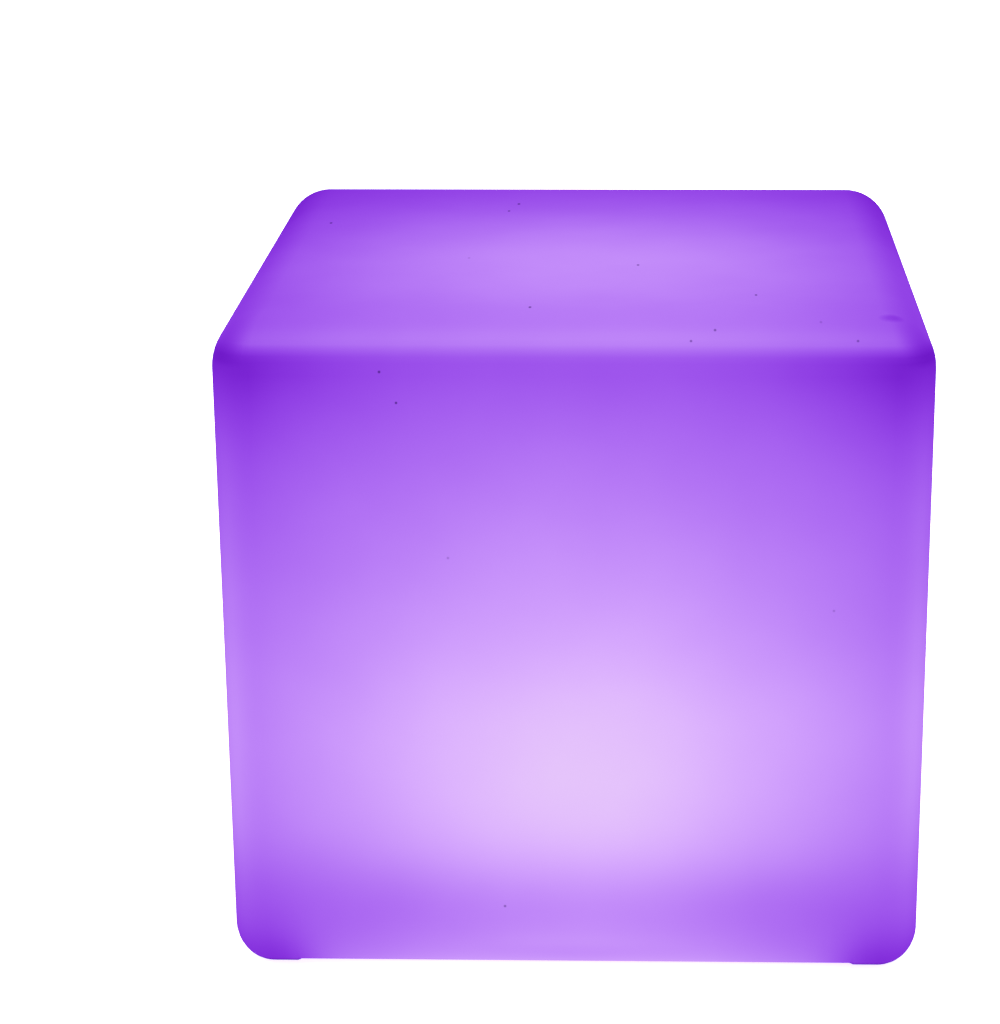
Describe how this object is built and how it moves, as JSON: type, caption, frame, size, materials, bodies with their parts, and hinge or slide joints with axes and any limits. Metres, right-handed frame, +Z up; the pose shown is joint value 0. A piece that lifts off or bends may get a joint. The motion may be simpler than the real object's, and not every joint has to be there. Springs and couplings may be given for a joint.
{
  "type": "led cube light",
  "caption": "Glowing cube seat for garden or porch: a hollow round-edged translucent shell on low corner feet, with a sealed rechargeable light unit screwed into its underside.",
  "frame": {"origin": "middle of the floor under the cube, at the level that its four feet stand on", "axes": "+Z up, -Y towards the front face, +X to the right seen from the front; the button is at -X and the charging socket at +X, both towards the front"},
  "size_m": [0.4, 0.4, 0.3916],
  "materials": {
    "shell_polyethylene": "satin translucent polyethylene",
    "pan_plastic": "fine moulded texture",
    "inner_plastic": "moulded",
    "button_plastic": "satin",
    "clear_plastic": "clear",
    "seal_rubber": "silicone",
    "cap_rubber": "matt",
    "screw_steel": "plated",
    "insert_brass": "turned",
    "socket_plastic": "moulded",
    "nickel": "nickel plated",
    "board_white": "white solder mask on aluminium",
    "board_green": "green solder mask",
    "led_package": "moulded package with clear gel",
    "cell_sleeve": "shrink sleeve",
    "wire_red": "insulation",
    "wire_black": "insulation",
    "wire_grey": "insulation"
  },
  "bodies": {
    "lamp": {"shell": "shell_polyethylene", "base_pan": "pan_plastic", "cell_holder": "inner_plastic", "board_plugs": "inner_plastic", "stacking_header": "inner_plastic", "switch_case": "inner_plastic", "control_chips": "inner_plastic", "boost_choke": "inner_plastic", "remote_receiver": "inner_plastic", "lens_dome": "clear_plastic", "light_pipe": "clear_plastic", "flange_gasket": "seal_rubber", "dome_seal": "seal_rubber", "cap_ring": "cap_rubber", "flange_screws": "screw_steel", "dome_screws": "screw_steel", "led_board_screws": "screw_steel", "control_board_screws": "screw_steel", "switch_board_screws": "screw_steel", "holder_screws": "screw_steel", "threaded_inserts": "insert_brass", "socket_terminals": "insert_brass", "socket_pin": "insert_brass", "charge_socket": "socket_plastic", "socket_nut": "nickel", "negative_strip": "nickel", "positive_strip": "nickel", "capacitors": "nickel", "led_board": "board_white", "control_board": "board_green", "switch_board": "board_green", "colour_leds": "led_package", "white_leds": "led_package", "charge_led": "led_package", "front_cell": "cell_sleeve", "rear_cell": "cell_sleeve", "positive_cell_lead": "wire_red", "positive_socket_lead": "wire_red", "negative_cell_lead": "wire_black", "negative_socket_lead": "wire_black", "switch_leads": "wire_grey"},
    "button": {"power_button": "button_plastic", "button_ring": "seal_rubber", "switch_plunger": "button_plastic"},
    "socket_cap": {"port_cap": "cap_rubber"}
  },
  "joints": [
    {"name": "button_press", "type": "slide", "parent": "lamp", "child": "button", "axis": [0, 0, 1], "range_m": [0, 0.0008], "stiffness_N_per_m": 2000, "springref_m": -0.0002},
    {"name": "cap_hinge", "type": "hinge", "parent": "lamp", "child": "socket_cap", "pos_m": [0.0304, -0.028, 0.00905], "axis": [0, -1, 0], "range_deg": [0, 155]}
  ]
}
